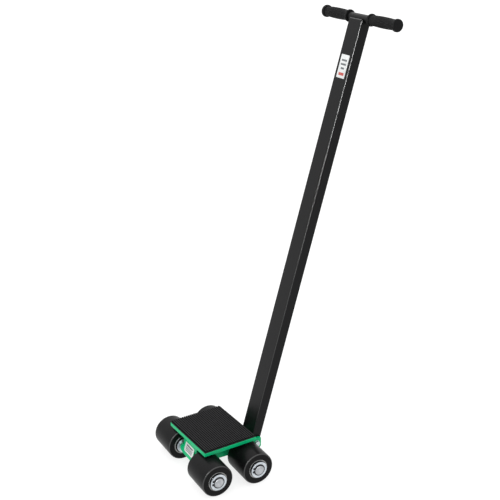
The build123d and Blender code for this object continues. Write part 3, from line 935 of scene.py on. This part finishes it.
def ring_tree():
    """Rings along a grip: thin hoops at one pitch, whose size follows the swell of the barrel."""
    tree, given = new_tree("grip_rings", ["Count"], ("Pitch", "Start", "Neck", "Swell", "Thickness"))
    hoop = circle(tree, RING_SIDES, given["Neck"])
    flat = swept(tree, hoop, circle(tree, RING_SECTION_SIDES, given["Thickness"]))
    sockets = {"Geometry": flat, "Rotation": (math.radians(90), 0.0, 0.0)}
    stood = add(tree, "GeometryNodeTransform", None, sockets).outputs["Geometry"]
    index = add(tree, "GeometryNodeInputIndex").outputs["Index"]
    share = maths(tree, "DIVIDE", index, maths(tree, "SUBTRACT", given["Count"], 1.0))
    crown = maths(tree, "SINE", maths(tree, "MULTIPLY", share, math.pi))
    rise = maths(tree, "MULTIPLY", crown, given["Swell"])
    size = maths(tree, "ADD", maths(tree, "DIVIDE", rise, given["Neck"]), 1.0)
    first = vector(tree, Y=given["Start"])
    step = vector(tree, Y=given["Pitch"])
    grown = {"Scale": vector(tree, X=size, Y=1.0, Z=size)}
    rings = row_of(tree, stood, given["Count"], first, step, grown)
    close_tree(tree, given["Finish"], given["Geometry"], rings)
    return tree


# Mat


def rounded_slab(length, width, low, high, corner, edge):
    """Flat slab with round corners and a softened upper edge, centred on the Z axis."""
    shape = bmesh.new()
    levels = [(0.0, low), (0.0, high - edge), (edge * 0.3, high - edge * 0.3), (edge, high)]
    rows = []
    for inset, z in levels:
        row = []
        for x_way, y_way, start in ((1, 1, 0), (-1, 1, 90), (-1, -1, 180), (1, -1, 270)):
            centre = (x_way * (length / 2 - corner), y_way * (width / 2 - corner))
            for x, y in arc(centre, corner - inset, start, start + 90, CORNER_STEPS):
                row.append(shape.verts.new(Vector((x, y, z)) * MM))
        rows.append(row)
    for low_row, high_row in zip(rows, rows[1:]):
        for step in range(len(low_row)):
            after = (step + 1) % len(low_row)
            shape.faces.new((low_row[step], low_row[after], high_row[after], high_row[step]))
    shape.faces.new(reversed(rows[0]))
    shape.faces.new(rows[-1])
    return shape


base = rounded_slab(MAT_LENGTH, MAT_WIDTH, PLATE_TOP, PLATE_TOP + MAT_BASE, MAT_CORNER, MAT_EDGE)
mat = grow(
    rib_tree(),
    mesh_of(base, "mat_base"),
    {
        "Count": RIB_COUNT,
        "Pitch": RIB_PITCH * MM,
        "Length": (MAT_WIDTH - 2 * RIB_END_INSET) * MM,
        "Foot": RIB_FOOT * MM,
        "Top": RIB_TOP * MM,
        "Height": (RIB_HEIGHT + RIB_ROOT) * MM,
        "Round": RIB_ROUND * MM,
        "Level": (PLATE_TOP + MAT_BASE + (RIB_HEIGHT - RIB_ROOT) / 2) * MM,
        "Finish": finishes["mat_rubber"],
    },
)
mat.transform(Matrix.Rotation(PLATE_TURN, 4, "Z") @ at(PLATE_SHIFT, 0, 0))
set_down("ribbed_mat", close_seams(mat), "mat_rubber", "swivel", "load_mat")


# Welds

weld = bead_tree()


def run_of(points, closed=False):
    """Path of a weld through points, as a mesh of edges."""
    path = bpy.data.meshes.new("weld_run")
    edges = [(step, step + 1) for step in range(len(points) - 1)]
    if closed:
        edges.append((len(points) - 1, 0))
    path.from_pydata([Vector(point) * MM for point in points], edges, [])
    return path


def beads(runs, radius, finish):
    """Weld beads along several runs, joined into one mesh."""
    shape = bmesh.new()
    for run in runs:
        sizes = {
            "Radius": radius * MM,
            "Ripple": RIPPLE,
            "Pool": POOL * MM,
            "Step": POOL / POOL_STEPS * MM,
            "Sides": BEAD_SIDES,
            "Stray": STRAY,
            "Finish": finishes[finish],
        }
        shape.from_mesh(grow(weld, run, sizes))
    return mesh_of(shape, "weld")


frame_runs = []
for side in SIDES.values():
    y = side * (SIDE_FACE + DECK_BEAD)
    z = DECK_UNDERSIDE - DECK_BEAD
    frame_runs.append(run_of([(DECK_REAR + DECK_CORNER, y, z), (DECK_FRONT - DECK_CORNER, y, z)]))
    y = side * (SIDE_FACE + BOSS_BEAD)
    for front, start, stop in BOSS_RUNS:
        steps = (stop - start) // BOSS_STEP
        spots = arc((front * AXLE_X, AXLE_Z), BOSS_RADIUS + BOSS_BEAD, start, stop, steps)
        frame_runs.append(run_of([(x, y, z) for x, z in spots], front == ENDS["front"]))
frame_beads = beads(frame_runs, FRAME_BEAD_RADIUS, "frame_green")
set_down("frame_weld_beads", frame_beads, "frame_green", "chassis", "frame_welds")

leant = pivot @ Matrix.Rotation(HANDLE_LEAN, 4, "Y")
handle_runs = []
reach = TUBE_WIDTH / 2 - TUBE_CORNER
for way in (1, -1):
    x = way * (TUBE_DEPTH / 2 - TUBE_WALL - HANDLE_BEAD_IN)
    z = TUBE_TOP + HANDLE_BEAD_UP
    handle_runs.append(run_of([(x, -reach, z), (x, reach, z)]))
handle_beads = beads(handle_runs, HANDLE_BEAD_RADIUS, "weld_black")
handle_beads.transform(leant)
set_down("handle_weld_beads", handle_beads, "handle_black", "handle", "handle_welds", finish="weld_black")


# Grips

rings = ring_tree()
BARREL_START = GRIP_START + GRIP_INNER_FLANGE
BARREL_END = GRIP_END - GRIP_END_FLANGE
RING_PITCH = (BARREL_END - BARREL_START) / (RING_COUNT + 1)


def grip_outline(side):
    """Grip: two rounded flanges, a barrel that swells between them and a closed end."""
    flat = GRIP_FLANGE - GRIP_ROUND
    bore = BAR_RADIUS + SEAT_FIT
    inside = GRIP_END - GRIP_END_WALL
    outline = [(0, inside), (bore, inside), (bore, GRIP_START)]
    outline += arc((flat, GRIP_START + GRIP_ROUND), GRIP_ROUND, -90, 0, CORNER_STEPS)
    outline += arc((flat, BARREL_START - GRIP_ROUND), GRIP_ROUND, 0, 90, CORNER_STEPS)
    for step in range(BARREL_STEPS + 1):
        share = step / BARREL_STEPS
        y = BARREL_START + share * (BARREL_END - BARREL_START)
        outline.append((GRIP_NECK + GRIP_SWELL * math.sin(math.pi * share), y))
    outline += arc((flat, BARREL_END + GRIP_ROUND), GRIP_ROUND, -90, 0, CORNER_STEPS)
    outline += arc((flat, GRIP_END - GRIP_ROUND), GRIP_ROUND, 0, 90, CORNER_STEPS)
    outline.append((0, GRIP_END))
    return [(radius, side * y) for radius, y in outline]


for side_name, side in SIDES.items():
    grip = grow(
        rings,
        turned("grip", (grip_outline(side), Matrix.Identity(4))),
        {
            "Count": RING_COUNT,
            "Pitch": side * RING_PITCH * MM,
            "Start": side * (BARREL_START + RING_PITCH) * MM,
            "Neck": GRIP_NECK * MM,
            "Swell": GRIP_SWELL * MM,
            "Thickness": RING_RADIUS * MM,
            "Finish": finishes["grip_rubber"],
        },
    )
    grip.transform(leant @ at(0, 0, HANDLE_LENGTH))
    set_down(f"ringed_grip_{side_name}", close_seams(grip), "grip_rubber", "handle", f"grip_{side_name}")


# Labels without words


def print_bars(material, placed, bars):
    """Prints plain bars across the middle of a film that a matrix has put in place."""
    tree = material.node_tree
    base_colour = tree.nodes["Principled BSDF"].inputs["Base Color"]
    colour = base_colour.links[0].from_socket
    film = {
        "Vector": add(tree, "ShaderNodeTexCoord").outputs["Object"],
        "Location": placed.translation,
        "Rotation": placed.to_euler(),
    }
    flat = add(tree, "ShaderNodeMapping", {"vector_type": "TEXTURE"}, film).outputs["Vector"]
    parts = split(tree, flat)
    for up, half_height, half_width, ink in bars:
        row = maths(tree, "COMPARE", parts["X"], up * MM, half_height * MM)
        column = maths(tree, "COMPARE", parts["Y"], 0.0, half_width * MM)
        colour = blend(tree, maths(tree, "MULTIPLY", row, column), colour, hex_colour(ink))
    tree.links.new(colour, base_colour)


def foil(name, height, width, placed):
    """Thin film with round corners, put in place by a matrix. Its height runs along X and it faces up Z."""
    film = mesh_of(rounded_slab(height, width, 0.0, FOIL, FOIL_CORNER, FOIL_EDGE), name)
    film.transform(placed)
    return film


facing_back = Matrix.Rotation(math.radians(-90), 4, "Y")
on_tube = leant @ at(-TUBE_DEPTH / 2, 0, HANDLE_LENGTH - STICKER_DROP) @ facing_back
print_bars(finishes["sticker"], on_tube, STICKER_BARS)
sticker = foil("sticker", STICKER_LENGTH, STICKER_WIDTH, on_tube)
set_down("plain_sticker", sticker, "sticker", "handle", "handle_sticker")
on_rear = at(*LABEL_PLACE) @ Matrix.Rotation(REAR_SLOPE, 4, "Y") @ facing_back
print_bars(finishes["label_white"], on_rear, LABEL_BARS)
label = foil("label", LABEL_HEIGHT, LABEL_WIDTH, on_rear)
set_down("plain_rear_label", label, "label_white", "chassis", "rear_label")


# Studio, in metres and watts

FLOOR_REACH = 40.0
FLOOR_GLOW = 0.8
WHITE = (1.0, 1.0, 1.0, 1.0)
SKY_HEIGHT = (0.4, 1.6)
SKY_REAR = 0.2
SKY_FAR = 0.6
LAMP_PLACE = (-2.0, -1.65, 1.9)
LAMP_SIZE = (0.7, 1.5)
HANDLE_TARGET = (0.5, 0.0, 1.4)
ROLLER_TARGET = (0.0, -0.1, 0.05)

scene = bpy.context.scene
scene.view_settings.view_transform = "Standard"

floor_mesh = bpy.data.meshes.new("floor")
corners = [(x * FLOOR_REACH, y * FLOOR_REACH, 0) for x, y in ((-1, -1), (1, -1), (1, 1), (-1, 1))]
floor_mesh.from_pydata(corners, [], [(0, 1, 2, 3)])
floor = bpy.data.objects.new("floor", floor_mesh)
scene.collection.objects.link(floor)
floor_paint = bpy.data.materials.new("pale_floor")
floor_paint.use_nodes = True
paint = floor_paint.node_tree.nodes["Principled BSDF"].inputs
paint["Base Color"].default_value = hex_colour("#8c8c8c")
paint["Emission Color"].default_value = WHITE
paint["Emission Strength"].default_value = FLOOR_GLOW
paint["Roughness"].default_value = 0.9
paint["Specular IOR Level"].default_value = 0.0
floor_mesh.materials.append(floor_paint)

# The sky is brightest overhead, and brighter at the rear and on the far side. The camera sees it white.
world = bpy.data.worlds.new("studio")
scene.world = world
world.use_nodes = True
sky = world.node_tree
parts = split(sky, add(sky, "ShaderNodeTexCoord").outputs["Generated"])
overhead = remap(sky, parts["Z"], 0.0, 1.0, *SKY_HEIGHT)
rear = remap(sky, parts["X"], 0.6, -1.0, 0.0, SKY_REAR)
far = remap(sky, parts["Y"], 0.0, 1.0, 0.0, SKY_FAR)
glow = maths(sky, "ADD", maths(sky, "ADD", overhead, rear), far)
seen = add(sky, "ShaderNodeLightPath").outputs["Is Camera Ray"]
shown = add(sky, "ShaderNodeMix", {"data_type": "FLOAT"}, {0: seen, 2: glow, 3: 1.0})
background = sky.nodes["Background"].inputs
sky.links.new(shown.outputs[0], background["Strength"])
background["Color"].default_value = WHITE


def softbox(name, target, spread, power):
    """Tall lamp that faces a point and shows only as a gleam. Spread is in degrees."""
    lamp = bpy.data.lights.new(name, "AREA")
    lamp.shape = "RECTANGLE"
    lamp.size, lamp.size_y = LAMP_SIZE
    lamp.spread = math.radians(spread)
    lamp.energy = power
    holder = bpy.data.objects.new(name, lamp)
    scene.collection.objects.link(holder)
    holder.visible_diffuse = False
    holder.location = LAMP_PLACE
    holder.rotation_euler = (Vector(target) - Vector(LAMP_PLACE)).to_track_quat("-Z", "Y").to_euler()


softbox("key_light", HANDLE_TARGET, spread=34, power=9.5)
softbox("roller_light", ROLLER_TARGET, spread=20, power=0.8)

camera = bpy.data.cameras.new("camera")
camera.sensor_width = 36.0
camera.lens = 72.08
viewer = bpy.data.objects.new("camera", camera)
viewer.location = (-1.02840, -2.04172, 1.47135)
viewer.rotation_euler = (math.radians(69.18), 0.0, math.radians(-29.23))
scene.collection.objects.link(viewer)
scene.camera = viewer
